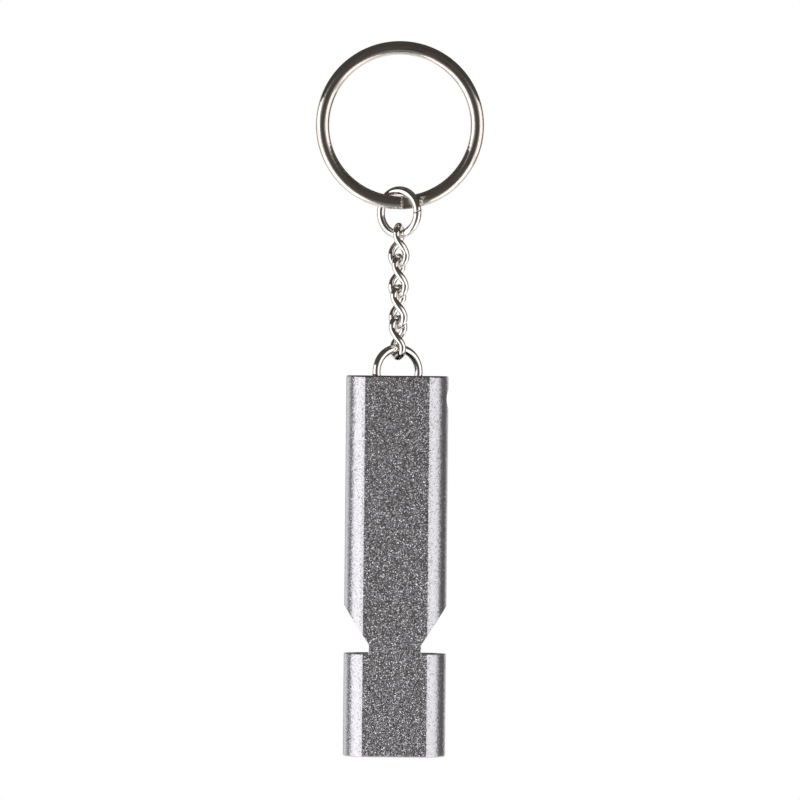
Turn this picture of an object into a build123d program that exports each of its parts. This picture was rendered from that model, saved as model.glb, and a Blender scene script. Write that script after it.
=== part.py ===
from build123d import *
import os
from math import cos, radians, sin, sqrt, tan

# The whistle hangs from its split ring. The origin is the hook point, at the top of the
# inside of the split ring. X is to the right, Y into the picture and Z up.

# Split ring: one wire wound twice, that steps from the front layer to the back one.
splitRingOuterDiameter = 25.0
splitWireRadialWidth = 2.0
splitWireThickness = 0.85
splitWireDomeShare = 0.85
splitLayerGap = 0.06
# Angles from the bottom of the ring, towards the right, where the front and back ends are.
splitFrontEndAngle = 3.0
splitBackEndAngle = 23.0
splitEndSlantAngle = 20.0
splitCrossoverSectionCount = 5

# Small wire rings: one on the split ring, one in the whistle. The chain hangs a little
# behind the middle of the split ring.
chainRingOuterDiameter = 7.8
bodyRingOuterDiameter = 8.2
ringWireDiameter = 1.25
ringCutGap = 0.12
chainRingTurnAngle = -34.0
chainRingSetBack = 0.3
chainRingLift = 0.2
chainRingCutAngle = 96.0
chainRingCutSlantAngle = 35.0
bodyRingTurnAngle = 26.0
bodyRingCutAngle = -42.0

# Chain links: a long loop of wire, twisted by the same angle in every link.
linkWireDiameter = 1.06
linkInnerLength = 4.63
linkWidth = 3.62
linkTwistAngle = 76.0
linkTwistSampleCount = 4
# Direction of the lower loop of each link, seen from above, from X.
linkLowerAngles = [-31.0, -38.0, -46.0, -57.0]
contactGap = 0.07
ringSeatGap = 0.32

# Whistle body: a flattened tube with two bores and a notch in each side.
bodyLength = 56.5
bodyWidth = 15.2
bodySideWall = 1.15
bodyFaceWall = 0.95
bodyWeb = 1.1
bodyEndRounding = 0.3
boreMouthChamfer = 0.2
notchStart = 34.1
notchDepth = 3.7
notchSlopeShare = 0.64
notchShoulder = 41.25
notchCornerRadius = 0.35
crossHoleDiameter = 2.9
crossHoleDepth = 3.4

# Plugs pressed into the bores.
plugClearance = 0.05
windwayHeight = 1.2
windwayPlugRecess = 0.1
stopperLength = 3.0
leftStopperDepth = 7.5
rightStopperDepth = 12.0

splitRadius = (splitRingOuterDiameter - splitWireRadialWidth) / 2
splitCentreZ = -(splitRingOuterDiameter / 2 - splitWireRadialWidth)
ringWireRadius = ringWireDiameter / 2
chainRingRadius = (chainRingOuterDiameter - ringWireDiameter) / 2
bodyRingRadius = (bodyRingOuterDiameter - ringWireDiameter) / 2
linkWireRadius = linkWireDiameter / 2
linkLoopRadius = (linkWidth - linkWireDiameter) / 2
linkHalfLength = (linkInnerLength + linkWireDiameter) / 2
linkStraightHalf = linkHalfLength - linkLoopRadius

chainRingTopZ = (splitCentreZ - splitRadius + splitWireRadialWidth / 2
                 + ringWireRadius + chainRingLift)
chainRingCentreZ = chainRingTopZ - chainRingRadius
firstLinkTopZ = (chainRingCentreZ - chainRingRadius + ringWireRadius + linkWireRadius
                 + contactGap)
linkPitch = 2 * linkHalfLength - linkWireDiameter - contactGap
linkCentres = [firstLinkTopZ - linkHalfLength - linkPitch * i
               for i in range(len(linkLowerAngles))]
bodyRingTopZ = (linkCentres[-1] - linkHalfLength + linkWireRadius + ringWireRadius
                + contactGap)
bodyRingCentreZ = bodyRingTopZ - bodyRingRadius
boreDiameter = (bodyWidth - 2 * bodySideWall - bodyWeb) / 2
boreOffset = (boreDiameter + bodyWeb) / 2
bodySideRadius = boreDiameter / 2 + bodySideWall
bodyHalfThickness = boreDiameter / 2 + bodyFaceWall
ringSeatDepth = crossHoleDepth - crossHoleDiameter / 2
bodyTopZ = (bodyRingCentreZ - bodyRingRadius + ringWireRadius + ringSeatDepth
            + ringSeatGap)
bodyBottomZ = bodyTopZ - bodyLength


def splitSection(angle, backShare):
    """Wire section of the split ring at an angle from its bottom, in its radial plane.

    It is in the front layer at a back share of 0 and in the back layer at 1, and its
    high dome faces away from the other layer.
    """
    a = radians(angle)
    outward = Vector(sin(a), 0, -cos(a))
    frontDome = splitWireThickness * (splitWireDomeShare * (1 - backShare)
                                      + (1 - splitWireDomeShare) * backShare)
    backDome = splitWireThickness - frontDome
    front = splitLayerGap / 2 - (1 - backShare) * (splitWireThickness + splitLayerGap)
    centre = Vector(0, front + frontDome, splitCentreZ) + outward * splitRadius
    plane = Plane(origin=centre, x_dir=outward, z_dir=Vector(cos(a), 0, sin(a)))
    halfWidth = splitWireRadialWidth / 2
    # Y of this plane points to the front or the back, whichever the axes give.
    frontSide = -1 if plane.y_dir.Y > 0 else 1
    domes = {frontSide: frontDome, -frontSide: backDome}
    outline = (EllipticalCenterArc((0, 0), halfWidth, domes[1], 0, arc_size=180)
               + EllipticalCenterArc((0, 0), halfWidth, domes[-1], 180, arc_size=180))
    return plane * make_face(outline)


def frontEndCutter():
    """Wedge that leaves the front end slanted, as cutting pliers do."""
    length = splitWireThickness * tan(radians(splitEndSlantAngle))
    wedge = Polyline((0, -splitLayerGap / 2), (0, -splitLayerGap / 2 - splitWireThickness),
                     (-length, -splitLayerGap / 2 - splitWireThickness), close=True)
    cutter = Pos(0, 0, -splitRadius) * extrude(make_face(wedge), splitWireRadialWidth,
                                               both=True)
    return Pos(0, 0, splitCentreZ) * Rot(0, -splitFrontEndAngle, 0) * cutter


def splitRing():
    turn = 360.0 - (splitBackEndAngle - splitFrontEndAngle)
    axis = Axis((0, 0, splitCentreZ), (0, 1, 0))
    frontLayer = revolve(splitSection(splitFrontEndAngle, 0), axis, turn)
    backLayer = revolve(splitSection(splitFrontEndAngle, 1), axis, turn)
    sections = []
    for i in range(splitCrossoverSectionCount):
        share = i / (splitCrossoverSectionCount - 1)
        eased = share * share * (3 - 2 * share)
        angle = splitFrontEndAngle + share * (splitBackEndAngle - splitFrontEndAngle)
        sections.append(splitSection(angle, 1 - eased))
    return frontLayer - frontEndCutter() + loft(sections) + backLayer


def wireRing(radius, centreZ, turn, cutAngle, cutSlant):
    """Round wire ring that stands upright, turned about Z, with a thin cut through it."""
    ring = Torus(radius, ringWireRadius, rotation=(90, 0, 0))
    cutter = Box(4 * ringWireDiameter, 4 * ringWireDiameter, ringCutGap)
    cutter = Rot(0, -cutAngle, 0) * Pos(0, 0, -radius) * Rot(0, 90, 0) * Rot(
        cutSlant, 0, 0) * cutter
    return Location((0, chainRingSetBack, centreZ), (0, 0, turn)) * (ring - cutter)


def linkPoint(side, height):
    """Point on the middle line of one strand of an unturned link."""
    share = (height + linkStraightHalf) / (2 * linkStraightHalf)
    angle = radians(-linkTwistAngle * share * share * (3 - 2 * share))
    return Vector(side * linkLoopRadius * cos(angle), side * linkLoopRadius * sin(angle),
                  height)


def linkEnd(turn, up):
    """Half ring of wire at one end of a link, in the upright plane at the given turn."""
    section = Plane.XY * Pos(linkLoopRadius, 0, 0) * Circle(linkWireRadius)
    half = revolve(section, Axis.Y, -180 * up)
    return Location((0, 0, up * linkStraightHalf), (0, 0, turn)) * half


def chainLink(centreZ, lowerTurn):
    link = linkEnd(0, -1)
    for side in (-1, 1):
        points = [linkPoint(side, linkStraightHalf * (2 * i / (linkTwistSampleCount - 1) - 1))
                  for i in range(linkTwistSampleCount)]
        strand = Spline(*points, tangents=[(0, 0, 1), (0, 0, 1)], tangent_scalars=[1, 1])
        section = Plane(origin=points[0], z_dir=(0, 0, 1)) * Circle(linkWireRadius)
        link += sweep(section, path=strand, is_frenet=True)
    link += linkEnd(-linkTwistAngle, 1)
    return Location((0, chainRingSetBack, centreZ), (0, 0, lowerTurn)) * link


def bodySection():
    """Outline of the tube: two flats joined by a round side that meets them at an edge."""
    halfThick = bodyHalfThickness
    halfFlat = boreOffset + sqrt(bodySideRadius ** 2 - halfThick ** 2)
    outline = (Line((-halfFlat, halfThick), (halfFlat, halfThick))
               + ThreePointArc((halfFlat, halfThick), (bodyWidth / 2, 0),
                               (halfFlat, -halfThick))
               + Line((halfFlat, -halfThick), (-halfFlat, -halfThick))
               + ThreePointArc((-halfFlat, -halfThick), (-bodyWidth / 2, 0),
                               (-halfFlat, halfThick)))
    return make_face(outline)


def notchTool(side):
    """Cutter for the notch in one side, through the whole thickness of the body."""
    slopeStartX = bodyWidth / 2
    neck = slopeStartX - notchDepth
    beyond = bodyWidth
    slopeLength = notchDepth / notchSlopeShare
    points = [(neck, -(notchStart + slopeLength)), (neck, -notchShoulder),
              (beyond, -notchShoulder),
              (beyond, -notchStart + (beyond - slopeStartX) / notchSlopeShare)]
    face = make_face(Polyline(*[(side * x, z) for x, z in points], close=True))
    corner = face.vertices().sort_by(Axis.Y)[2]
    face = fillet(corner, notchCornerRadius)
    return extrude(Plane.XZ * face, bodyWidth, both=True)


def whistleBody():
    tube = extrude(bodySection(), -bodyLength)
    for end in (Axis.Z, -Axis.Z):
        tube = fillet(tube.faces().sort_by(end)[-1].edges(), bodyEndRounding)
    for side in (-1, 1):
        bore = Cylinder(boreDiameter / 2, bodyLength, align=(Align.CENTER, Align.CENTER,
                                                             Align.MAX))
        mouth = Cone(boreDiameter / 2 + boreMouthChamfer, boreDiameter / 2,
                     boreMouthChamfer, align=(Align.CENTER, Align.CENTER, Align.MIN))
        tube -= Pos(side * boreOffset, 0, 0) * bore
        tube -= Pos(side * boreOffset, 0, -bodyLength) * mouth
        tube -= Pos(side * boreOffset, 0, 0) * Rot(180, 0, 0) * mouth
        tube -= notchTool(side)
    hole = Cylinder(crossHoleDiameter / 2, bodyWidth, rotation=(0, 90, 0),
                    align=(Align.CENTER, Align.CENTER, Align.MIN))
    tube -= Pos(-boreOffset, 0, -crossHoleDepth) * hole
    return Pos(0, chainRingSetBack, bodyTopZ) * tube


def windwayPlug(side):
    """Plug in the mouthpiece whose flat leaves the windway open on the outer side."""
    radius = boreDiameter / 2 - plugClearance
    length = bodyLength - notchShoulder - windwayPlugRecess
    plug = Cylinder(radius, length, align=(Align.CENTER, Align.CENTER, Align.MIN))
    flat = boreDiameter / 2 - windwayHeight
    plug -= Pos(side * flat, 0, 0) * Box(
        boreDiameter, boreDiameter, length,
        align=(Align.MIN if side > 0 else Align.MAX, Align.CENTER, Align.MIN))
    return Pos(side * boreOffset, chainRingSetBack, bodyBottomZ + windwayPlugRecess) * plug


def stopper(side, depth):
    plug = Cylinder(boreDiameter / 2 - plugClearance, stopperLength,
                    align=(Align.CENTER, Align.CENTER, Align.MAX))
    return Pos(side * boreOffset, chainRingSetBack, bodyTopZ - depth) * plug


pieces = {
    "key_ring": splitRing(),
    "chain_ring": wireRing(chainRingRadius, chainRingCentreZ, chainRingTurnAngle,
                           chainRingCutAngle, chainRingCutSlantAngle),
    "body_ring": wireRing(bodyRingRadius, bodyRingCentreZ, bodyRingTurnAngle,
                          bodyRingCutAngle, 0),
    "whistle_body": whistleBody(),
    "windway_plug_left": windwayPlug(-1),
    "windway_plug_right": windwayPlug(1),
    "stopper_left": stopper(-1, leftStopperDepth),
    "stopper_right": stopper(1, rightStopperDepth),
}
for number, (centreZ, turn) in enumerate(zip(linkCentres, linkLowerAngles), 1):
    pieces[f"chain_link_{number}"] = chainLink(centreZ, turn)

os.makedirs("parts", exist_ok=True)
for name, piece in pieces.items():
    export_step(piece, f"parts/{name}.step")
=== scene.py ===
import math

import bpy
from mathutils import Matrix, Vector


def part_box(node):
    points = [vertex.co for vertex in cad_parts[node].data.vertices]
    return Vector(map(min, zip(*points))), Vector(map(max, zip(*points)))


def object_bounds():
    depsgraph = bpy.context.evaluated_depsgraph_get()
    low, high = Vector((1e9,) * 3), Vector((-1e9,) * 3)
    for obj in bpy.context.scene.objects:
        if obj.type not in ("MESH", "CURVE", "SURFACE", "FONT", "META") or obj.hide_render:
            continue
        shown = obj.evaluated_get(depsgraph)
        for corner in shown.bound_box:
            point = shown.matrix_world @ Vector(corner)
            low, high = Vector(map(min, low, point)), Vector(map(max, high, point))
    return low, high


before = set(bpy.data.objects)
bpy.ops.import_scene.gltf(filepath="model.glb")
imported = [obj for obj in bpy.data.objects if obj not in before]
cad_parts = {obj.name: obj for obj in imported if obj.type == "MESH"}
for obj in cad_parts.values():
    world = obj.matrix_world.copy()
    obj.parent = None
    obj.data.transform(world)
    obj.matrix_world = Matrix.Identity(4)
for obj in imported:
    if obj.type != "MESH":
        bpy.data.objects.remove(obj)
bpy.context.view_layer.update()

mm = 0.001


# Short helpers for building node trees.
def addNode(tree, kind, **settings):
    node = tree.nodes.new(kind)
    for name, value in settings.items():
        setattr(node, name, value)
    return node


def feed(tree, socket, value):
    # A node's output gets linked, anything else is set on the socket itself.
    if isinstance(value, bpy.types.NodeSocket):
        tree.links.new(value, socket)
    else:
        socket.default_value = value


def feedAll(tree, node, values):
    # Keys are the names or the numbers of the node's sockets.
    for key, value in values.items():
        feed(tree, node.inputs[key], value)


def addMath(tree, operation, *values):
    node = addNode(tree, "ShaderNodeMath", operation=operation)
    feedAll(tree, node, dict(enumerate(values)))
    return node.outputs[0]


def addVector(tree, operation, *values):
    node = addNode(tree, "ShaderNodeVectorMath", operation=operation)
    feedAll(tree, node, dict(enumerate(values)))
    return node.outputs["Value" if operation in ("DOT_PRODUCT", "LENGTH") else "Vector"]


def addScale(tree, vector, amount):
    node = addNode(tree, "ShaderNodeVectorMath", operation="SCALE")
    feedAll(tree, node, {0: vector, "Scale": amount})
    return node.outputs["Vector"]


def addParts(tree, vector):
    node = addNode(tree, "ShaderNodeSeparateXYZ")
    feed(tree, node.inputs["Vector"], vector)
    return node.outputs


def addRadius(tree, across, along):
    # Distance from an axis, out of two distances that are square to each other.
    squares = [addMath(tree, "POWER", distance, 2.0) for distance in (across, along)]
    return addMath(tree, "SQRT", addMath(tree, "ADD", *squares))


def addRange(tree, value, fromLow, fromHigh, toLow=0.0, toHigh=1.0):
    node = addNode(tree, "ShaderNodeMapRange", interpolation_type="SMOOTHSTEP")
    feedAll(tree, node, {"Value": value, "From Min": fromLow, "From Max": fromHigh,
                         "To Min": toLow, "To Max": toHigh})
    return node.outputs["Result"]


def addMix(tree, share, first, second):
    # A colour mix has its two colours at sockets 6 and 7, and its result at output 2.
    node = addNode(tree, "ShaderNodeMix", data_type="RGBA")
    first, second = [(*colour, 1) if isinstance(colour, tuple) else colour
                     for colour in (first, second)]
    feedAll(tree, node, {0: share, 6: first, 7: second})
    return node.outputs[2]


def addNoise(tree, vector, scale, detail=2.0, roughness=0.5):
    node = addNode(tree, "ShaderNodeTexNoise")
    feedAll(tree, node, {"Vector": vector, "Scale": scale, "Detail": detail,
                         "Roughness": roughness})
    return node.outputs["Fac"]


def addRamp(tree, share, stops):
    ramp = addNode(tree, "ShaderNodeValToRGB")
    elements = ramp.color_ramp.elements
    while len(elements) < len(stops):
        elements.new(0.5)
    for element, (place, colour) in zip(elements, stops):
        element.position = place
        element.color = (*colour, 1)
    feed(tree, ramp.inputs["Fac"], share)
    return ramp.outputs["Color"]


def addBump(tree, height, strength, depth, normal=None):
    node = addNode(tree, "ShaderNodeBump")
    feedAll(tree, node, {"Strength": strength, "Distance": depth, "Height": height})
    if normal is not None:
        feed(tree, node.inputs["Normal"], normal)
    return node.outputs["Normal"]


def addRounding(tree, width, samples=6):
    # Normal that turns smoothly across every sharp edge.
    node = addNode(tree, "ShaderNodeBevel", samples=samples)
    feed(tree, node.inputs["Radius"], width)
    return node.outputs["Normal"]


def addBlend(tree, share, first, second):
    node = addNode(tree, "ShaderNodeMixShader")
    feedAll(tree, node, {0: share, 1: first.outputs[0], 2: second.outputs[0]})
    return node.outputs[0]


def grey(value, tint=(1, 1, 1)):
    return tuple(value * share for share in tint)


def newSurface(name, roughness):
    material = bpy.data.materials.new(name)
    material.use_nodes = True
    tree = material.node_tree
    shader = tree.nodes["Principled BSDF"]
    feed(tree, shader.inputs["Roughness"], roughness)
    return material, tree, shader


def newMetal(name, colour, roughness):
    material, tree, shader = newSurface(name, roughness)
    feedAll(tree, shader, {"Base Color": (*colour, 1), "Metallic": 1.0})
    return material, tree, shader


def middleOf(nodeName):
    low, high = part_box(nodeName)
    return tuple((a + b) / 2 for a, b in zip(low, high))


def dress(material, nodeNames):
    for name in nodeNames:
        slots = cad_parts[name].data.materials
        for index in range(len(slots)):
            slots[index] = material


# Whistle body: dark anodised aluminium, sandblasted. Every grain has its own tilt and
# brightness, more on the flats than on the round sides, and the sharp edges are worn,
# their lighter colour partly worn bare metal and partly a painted highlight.
blastedMetal = {"tint": (1.005, 0.985, 1.04), "roughness": 0.24, "grainsPerMetre": 8800,
                "grainStops": [(0.0, 0.44), (0.5, 0.66), (0.8, 0.87), (1.0, 0.97)],
                "tilt": 0.53, "glintTilt": 1.75,
                "glintPower": 4,  # the higher, the fewer the glints
                "sideColour": 0.54, "sideShare": 0.24,
                "flatRange": (0.955, 0.985),  # share of the normal along Y, side to flat
                # The edge colour below is partly worn bare metal and partly a painted
                # highlight.
                "wearAndHighlightColour": 0.8, "wearAndHighlightWidth": 0.26 * mm,
                "wearAndHighlightRange": (0.985, 0.94),  # cosine of the turn at an edge, none to full
                "patchesPerMetre": 700, "patchDetail": 3,
                "patchRange": (0.35, 0.6), "patchShares": (0.25, 1.0)}


def makeBlastedMetal():
    tint = blastedMetal["tint"]
    sideColour = grey(blastedMetal["sideColour"], tint)
    material, tree, shader = newMetal("blastedDarkAluminium", sideColour,
                                      blastedMetal["roughness"])
    coordinates = addNode(tree, "ShaderNodeTexCoord").outputs
    cells = addNode(tree, "ShaderNodeTexVoronoi")
    feedAll(tree, cells, {"Vector": coordinates["Object"],
                          "Scale": blastedMetal["grainsPerMetre"]})
    grain = addNode(tree, "ShaderNodeSeparateColor")
    feed(tree, grain.inputs["Color"], cells.outputs["Color"])

    # The grain is coarse on the two flats, which face along Y, and faint on the round sides.
    facing = addMath(tree, "ABSOLUTE", addParts(tree, coordinates["Normal"])["Y"])
    coarse = addRange(tree, facing, *blastedMetal["flatRange"], blastedMetal["sideShare"], 1.0)
    grains = addRamp(tree, grain.outputs["Red"],
                     [(stop, grey(value, tint)) for stop, value in blastedMetal["grainStops"]])
    colour = addMix(tree, coarse, sideColour, grains)

    # Edges where the surface turns sharply within this width get a lighter colour: partly
    # worn bare metal, partly a painted highlight.
    normal = addNode(tree, "ShaderNodeNewGeometry").outputs["Normal"]
    rounded = addRounding(tree, blastedMetal["wearAndHighlightWidth"])
    turn = addVector(tree, "DOT_PRODUCT", normal, rounded)
    patches = addNoise(tree, coordinates["Object"], blastedMetal["patchesPerMetre"],
                       blastedMetal["patchDetail"])
    wearAndHighlight = addMath(tree, "MULTIPLY", addRange(tree, turn, *blastedMetal["wearAndHighlightRange"]),
                   addRange(tree, patches, *blastedMetal["patchRange"],
                            *blastedMetal["patchShares"]))
    # Painted highlight and wear: the sharp edges take the lighter colour.
    feed(tree, shader.inputs["Base Color"],
         addMix(tree, wearAndHighlight, colour, grey(blastedMetal["wearAndHighlightColour"], tint)))

    # Each grain off the worn, highlighted edges leans its own way, and a few lean far enough
    # to glint.
    glint = addMath(tree, "POWER", grain.outputs["Blue"], blastedMetal["glintPower"])
    amount = addMath(tree, "MULTIPLY_ADD", glint, blastedMetal["glintTilt"],
                     blastedMetal["tilt"])
    amount = addMath(tree, "MULTIPLY", amount, coarse)
    amount = addMath(tree, "MULTIPLY", amount, addMath(tree, "SUBTRACT", 1.0, wearAndHighlight))
    centred = addVector(tree, "SUBTRACT", cells.outputs["Color"], (0.5, 0.5, 0.5))
    turned = addScale(tree, addVector(tree, "SUBTRACT", rounded, normal), wearAndHighlight)
    tilted = addVector(tree, "ADD", addVector(tree, "ADD", normal, turned),
                       addScale(tree, centred, amount))
    feed(tree, shader.inputs["Normal"], addVector(tree, "NORMALIZE", tilted))
    return material


dress(makeBlastedMetal(), ["whistle_body"])
print("stage: the whistle body is blasted and its edges are worn")

# Bright nickel plating, alike on all rings and links. Marks on it are duller and slightly
# raised, and its edges are softened.
nickelPlating = {"smooth": 0.03, "dull": 0.08, "dullRange": (0.35, 0.65),
                 "noiseRoughness": 0.6, "markDepth": 0.025 * mm, "edgeRounding": 0.15 * mm}


def markPlating(tree, shader, marks, relief):
    feed(tree, shader.inputs["Roughness"],
         addRange(tree, marks, *nickelPlating["dullRange"], nickelPlating["smooth"],
                  nickelPlating["dull"]))
    feed(tree, shader.inputs["Normal"],
         addBump(tree, marks, relief, nickelPlating["markDepth"],
                 addRounding(tree, nickelPlating["edgeRounding"])))


# Split ring: darker plating with fine streaks that follow the wire round its middle.
streakedWire = {"colour": (0.75, 0.69, 0.635), "streakColour": (0.34, 0.29, 0.25),
                "streaksPerMetre": 9000, "streakDetail": 3, "streakRange": (0.45, 0.65),
                "streakTurn": 0.0004,  # the lower, the longer the streaks
                "patchesPerMetre": 225, "patchDetail": 3,
                "patchRange": (0.4, 0.65), "patchShares": (0.2, 1.0), "relief": 0.32}


def makeStreakedWire(nodeName):
    material, tree, shader = newMetal("streakedNickel", streakedWire["colour"],
                                      nickelPlating["dull"])
    place = addNode(tree, "ShaderNodeTexCoord").outputs["Object"]
    part = addParts(tree, addVector(tree, "SUBTRACT", place, middleOf(nodeName)))
    turn = addMath(tree, "ARCTAN2", part["X"], part["Z"])
    along = addNode(tree, "ShaderNodeCombineXYZ")
    feedAll(tree, along, {"X": addRadius(tree, part["X"], part["Z"]), "Y": part["Y"],
                          "Z": addMath(tree, "MULTIPLY", turn, streakedWire["streakTurn"])})
    streaks = addNoise(tree, along.outputs["Vector"], streakedWire["streaksPerMetre"],
                       streakedWire["streakDetail"], nickelPlating["noiseRoughness"])
    patches = addNoise(tree, place, streakedWire["patchesPerMetre"],
                       streakedWire["patchDetail"])
    worn = addMath(tree, "MULTIPLY", addRange(tree, streaks, *streakedWire["streakRange"]),
                   addRange(tree, patches, *streakedWire["patchRange"],
                            *streakedWire["patchShares"]))
    feed(tree, shader.inputs["Base Color"],
         addMix(tree, worn, streakedWire["colour"], streakedWire["streakColour"]))
    markPlating(tree, shader, streaks, streakedWire["relief"])
    return material


dress(makeStreakedWire("key_ring"), ["key_ring"])
print("stage: the split ring is plated and streaked")

# Chain, chain ring and body ring: lighter plating with soft cloudy marks.
chainWire = {"colour": (0.87, 0.83, 0.79), "cloudsPerMetre": 900, "cloudDetail": 4,
             "relief": 0.12}


def makeChainWire():
    material, tree, shader = newMetal("polishedNickel", chainWire["colour"],
                                      nickelPlating["dull"])
    place = addNode(tree, "ShaderNodeTexCoord").outputs["Object"]
    clouds = addNoise(tree, place, chainWire["cloudsPerMetre"], chainWire["cloudDetail"],
                      nickelPlating["noiseRoughness"])
    markPlating(tree, shader, clouds, chainWire["relief"])
    return material


dress(makeChainWire(), ["chain_ring", "body_ring", "chain_link_1", "chain_link_2",
                        "chain_link_3", "chain_link_4"])
print("stage: the chain and the small rings are plated")

# Plugs in the bores: plain aluminium with fine rings left by the lathe.
turnedPlug = {"dark": (0.30, 0.30, 0.31), "light": (0.52, 0.52, 0.53), "roughness": 0.36,
              "groovesPerMetre": 9000, "grooveRange": (0.3, 0.7),
              "lengthShare": 0.3,  # how densely the rings lie on its side, with 1 on its ends
              "bump": 0.35, "bumpDepth": 0.03 * mm}


def makeTurnedPlug(nodeName):
    material, tree, shader = newMetal("turnedAluminium", turnedPlug["light"],
                                      turnedPlug["roughness"])
    middle = middleOf(nodeName)
    part = addParts(tree, addNode(tree, "ShaderNodeTexCoord").outputs["Object"])
    # Both bores stand equally far from the middle, so one distance serves both.
    across = addMath(tree, "SUBTRACT", addMath(tree, "ABSOLUTE", part["X"]), abs(middle[0]))
    depth = addMath(tree, "SUBTRACT", part["Y"], middle[1])
    length = addMath(tree, "MULTIPLY", part["Z"], turnedPlug["lengthShare"])
    grooves = addNode(tree, "ShaderNodeTexNoise", noise_dimensions="1D")
    feedAll(tree, grooves, {"W": addMath(tree, "ADD", addRadius(tree, across, depth), length),
                            "Scale": turnedPlug["groovesPerMetre"]})
    height = grooves.outputs["Fac"]
    ridges = addRange(tree, height, *turnedPlug["grooveRange"])
    feed(tree, shader.inputs["Base Color"],
         addMix(tree, ridges, turnedPlug["dark"], turnedPlug["light"]))
    feed(tree, shader.inputs["Normal"],
         addBump(tree, height, turnedPlug["bump"], turnedPlug["bumpDepth"]))
    return material


dress(makeTurnedPlug("stopper_left"), ["windway_plug_left", "windway_plug_right",
                                       "stopper_left", "stopper_right"])
print("stage: the plugs are turned")


def addBackdropShare(tree, behind):
    # The backdrop is white to the camera, and in reflections and glass where it stands.
    rays = addNode(tree, "ShaderNodeLightPath").outputs
    mirrored = addMath(tree, "ADD", rays["Is Glossy Ray"], rays["Is Transmission Ray"])
    mirrored = addMath(tree, "MULTIPLY", mirrored, behind)
    return addMath(tree, "MINIMUM", addMath(tree, "ADD", rays["Is Camera Ray"], mirrored), 1.0)


def addArea(name, place, target, width, height, power):
    data = bpy.data.lights.new(name, "AREA")
    data.shape = "RECTANGLE"
    data.size, data.size_y = width, height
    data.energy = power
    light = bpy.data.objects.new(name, data)
    bpy.context.scene.collection.objects.link(light)
    light.location = place
    aim = Vector(target) - Vector(place)
    light.rotation_euler = aim.to_track_quat("-Z", "Y").to_euler()
    return light


# Pale floor well below the hanging whistle. It is set back, so that only a little of it
# reaches in front of the object, and turns into the white backdrop towards its rim. Its
# lamp hangs over its front half and is left out of the reflections.
floorSet = {"radius": 1.6, "corners": 96, "back": 1.3, "drop": 0.6,
            "colour": 0.86, "mottle": 0.01, "mottlesPerMetre": 6.0, "mottleRange": (0.3, 0.7),
            "roughness": 0.9,
            "whiteRange": (0.35, 1.5),  # distance from the floor's own middle
            "behindRange": (-1.1, -0.4),  # place along Y from that middle
            "lampPlace": (0, 0.8, 0.5), "lampSize": 1.4, "lampPower": 24}


def makePaleFloor():
    material, tree, shader = newSurface("paleFloor", floorSet["roughness"])
    place = addNode(tree, "ShaderNodeTexCoord").outputs["Object"]
    darkStop, lightStop = floorSet["mottleRange"]
    mottles = addNoise(tree, place, floorSet["mottlesPerMetre"])
    feed(tree, shader.inputs["Base Color"],
         addRamp(tree, mottles, [(darkStop, grey(floorSet["colour"] - floorSet["mottle"])),
                                 (lightStop, grey(floorSet["colour"] + floorSet["mottle"]))]))
    behind = addRange(tree, addParts(tree, place)["Y"], *floorSet["behindRange"])
    fade = addRange(tree, addVector(tree, "LENGTH", place), *floorSet["whiteRange"])
    share = addMath(tree, "MULTIPLY", fade, addBackdropShare(tree, behind))
    white = addNode(tree, "ShaderNodeEmission")
    feed(tree, tree.nodes["Material Output"].inputs["Surface"],
         addBlend(tree, share, shader, white))
    return material


def addFloor():
    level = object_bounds()[0][2] - floorSet["drop"]
    bpy.ops.mesh.primitive_circle_add(vertices=floorSet["corners"], fill_type="NGON",
                                      radius=floorSet["radius"],
                                      location=(0, floorSet["back"], level))
    floor = bpy.context.object
    floor.name = "studioFloor"
    floor.data.materials.append(makePaleFloor())
    below = Vector(floorSet["lampPlace"])
    below.z = level
    lamp = addArea("floorLamp", floorSet["lampPlace"], below, floorSet["lampSize"],
                   floorSet["lampSize"], floorSet["lampPower"])
    lamp.visible_glossy = False


addFloor()
print("stage: the floor lies below, with its lamp")

# A tall soft light on each side, aimed at the middle of the object.
sideLights = {"middle": (0, 0, -55 * mm), "distance": 0.55, "rise": -0.36, "height": 1.04,
              "left": {"azimuth": -65, "width": 0.62, "radiance": 1.30},
              "right": {"azimuth": 62, "width": 0.565, "radiance": 1.02}}


def addSideLight(name):
    middle, own = Vector(sideLights["middle"]), sideLights[name]
    azimuth = math.radians(own["azimuth"])
    place = middle + sideLights["distance"] * Vector((math.sin(azimuth), -math.cos(azimuth),
                                                      sideLights["rise"]))
    # The power that makes a light of this size as bright as its radiance says.
    power = own["radiance"] * math.pi * own["width"] * sideLights["height"]
    addArea(name + "Light", place, middle, own["width"], sideLights["height"], power)


for side in ("left", "right"):
    addSideLight(side)
print("stage: the side lights are up")

# Surroundings by the angle from straight ahead of the front face, to the left below zero
# and to the right above it: dim in front, a pale screen on each side and, behind, a white
# backdrop that reaches further round on the left. They get lighter towards the floor, and
# are dark and warm overhead. A stop is an angle in degrees and how light it is there.
surroundings = {"round": [(-164, 0.22), (-150, 0.75), (-126, 0.75), (-112, 0.09), (-96, 0.20),
                          (-30, 0.55), (-22, 0.11), (0, 0.075), (22, 0.11), (30, 0.55),
                          (92, 0.22), (110, 0.12), (136, 0.16), (164, 0.22)],
                "backdrop": [(-164, 0.0), (-150, 1.0), (-126, 1.0), (-112, 0.0), (136, 0.0),
                             (152, 1.0), (164, 1.0), (172, 0.0)],
                "warmth": (1.02, 1.0, 0.98),
                "low": (0.19, 0.185, 0.18), "lowRange": (-0.25, -0.70),
                "high": (0.072, 0.065, 0.058), "highRange": (0.18, 0.42)}


def addRound(tree, share, stops, tint=(1, 1, 1)):
    # The middle of the ramp is straight ahead, and its two ends meet straight behind.
    return addRamp(tree, share, [(degrees / 360 + 0.5, grey(value, tint))
                                 for degrees, value in stops])


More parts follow.
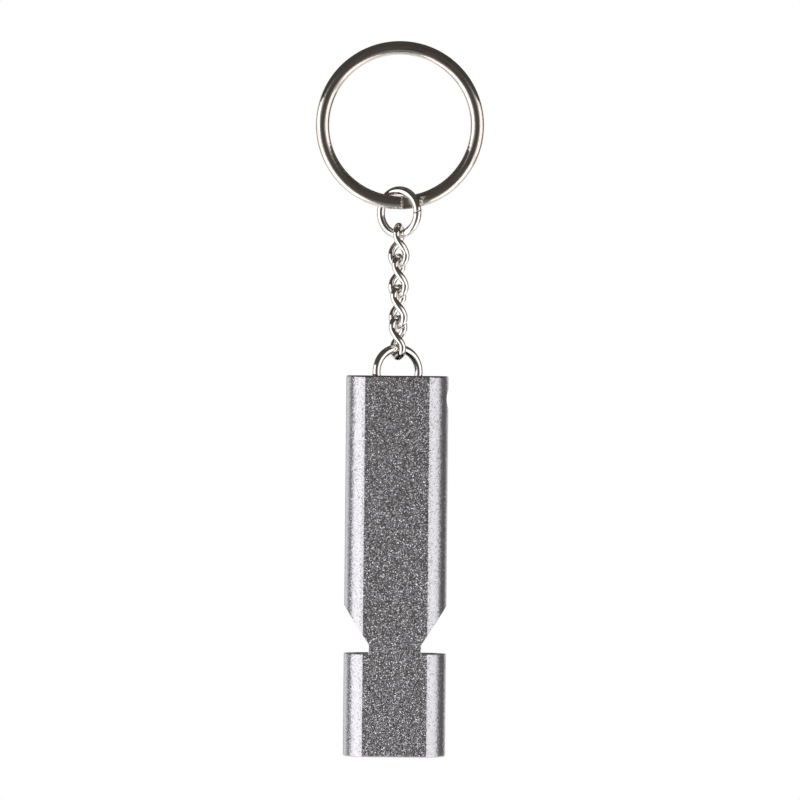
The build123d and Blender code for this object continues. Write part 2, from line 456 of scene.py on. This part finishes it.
def makeSurroundings():
    world = bpy.data.worlds.new("studioSurroundings")
    bpy.context.scene.world = world
    world.use_nodes = True
    tree = world.node_tree
    toward = addParts(tree, addNode(tree, "ShaderNodeTexCoord").outputs["Generated"])
    angle = addMath(tree, "ARCTAN2", toward["X"], addMath(tree, "MULTIPLY", toward["Y"], -1.0))
    share = addMath(tree, "MULTIPLY_ADD", angle, 0.5 / math.pi, 0.5)
    around = addRound(tree, share, surroundings["round"], surroundings["warmth"])
    level = addRange(tree, toward["Z"], *surroundings["highRange"], 1.0, 0.0)
    behind = addMath(tree, "MULTIPLY", level, addRound(tree, share, surroundings["backdrop"]))
    low = addScale(tree, surroundings["low"],
                   addRange(tree, toward["Z"], *surroundings["lowRange"]))
    studio = tree.nodes["Background"]
    feed(tree, studio.inputs["Color"],
         addMix(tree, level, surroundings["high"], addVector(tree, "ADD", around, low)))
    white = addNode(tree, "ShaderNodeBackground")
    feed(tree, white.inputs["Color"], (1, 1, 1, 1))
    feed(tree, tree.nodes["World Output"].inputs["Surface"],
         addBlend(tree, addBackdropShare(tree, behind), studio, white))


makeSurroundings()
print("stage: the surroundings are set")

# Camera straight in front, as in the photograph.
photoView = {"mmPerPixel": 0.1485, "pixels": 800, "distance": 0.9, "nearest": 0.01,
             "sensor": 36, "aimX": 0.4, "aimZ": -51.3, "roll": 0.55}


def addCamera():
    data = bpy.data.cameras.new("photoCamera")
    width = photoView["mmPerPixel"] * photoView["pixels"] * mm
    data.sensor_width = photoView["sensor"]
    data.lens = photoView["sensor"] * photoView["distance"] / width
    data.clip_start = photoView["nearest"]
    camera = bpy.data.objects.new("photoCamera", data)
    bpy.context.scene.collection.objects.link(camera)
    camera.location = (photoView["aimX"] * mm, -photoView["distance"], photoView["aimZ"] * mm)
    camera.rotation_euler = (math.radians(90), 0, 0)
    camera.rotation_euler.rotate_axis("Z", math.radians(photoView["roll"]))
    bpy.context.scene.camera = camera


addCamera()
bpy.context.scene.view_settings.view_transform = "Standard"
print("stage: the camera stands as in the photograph")
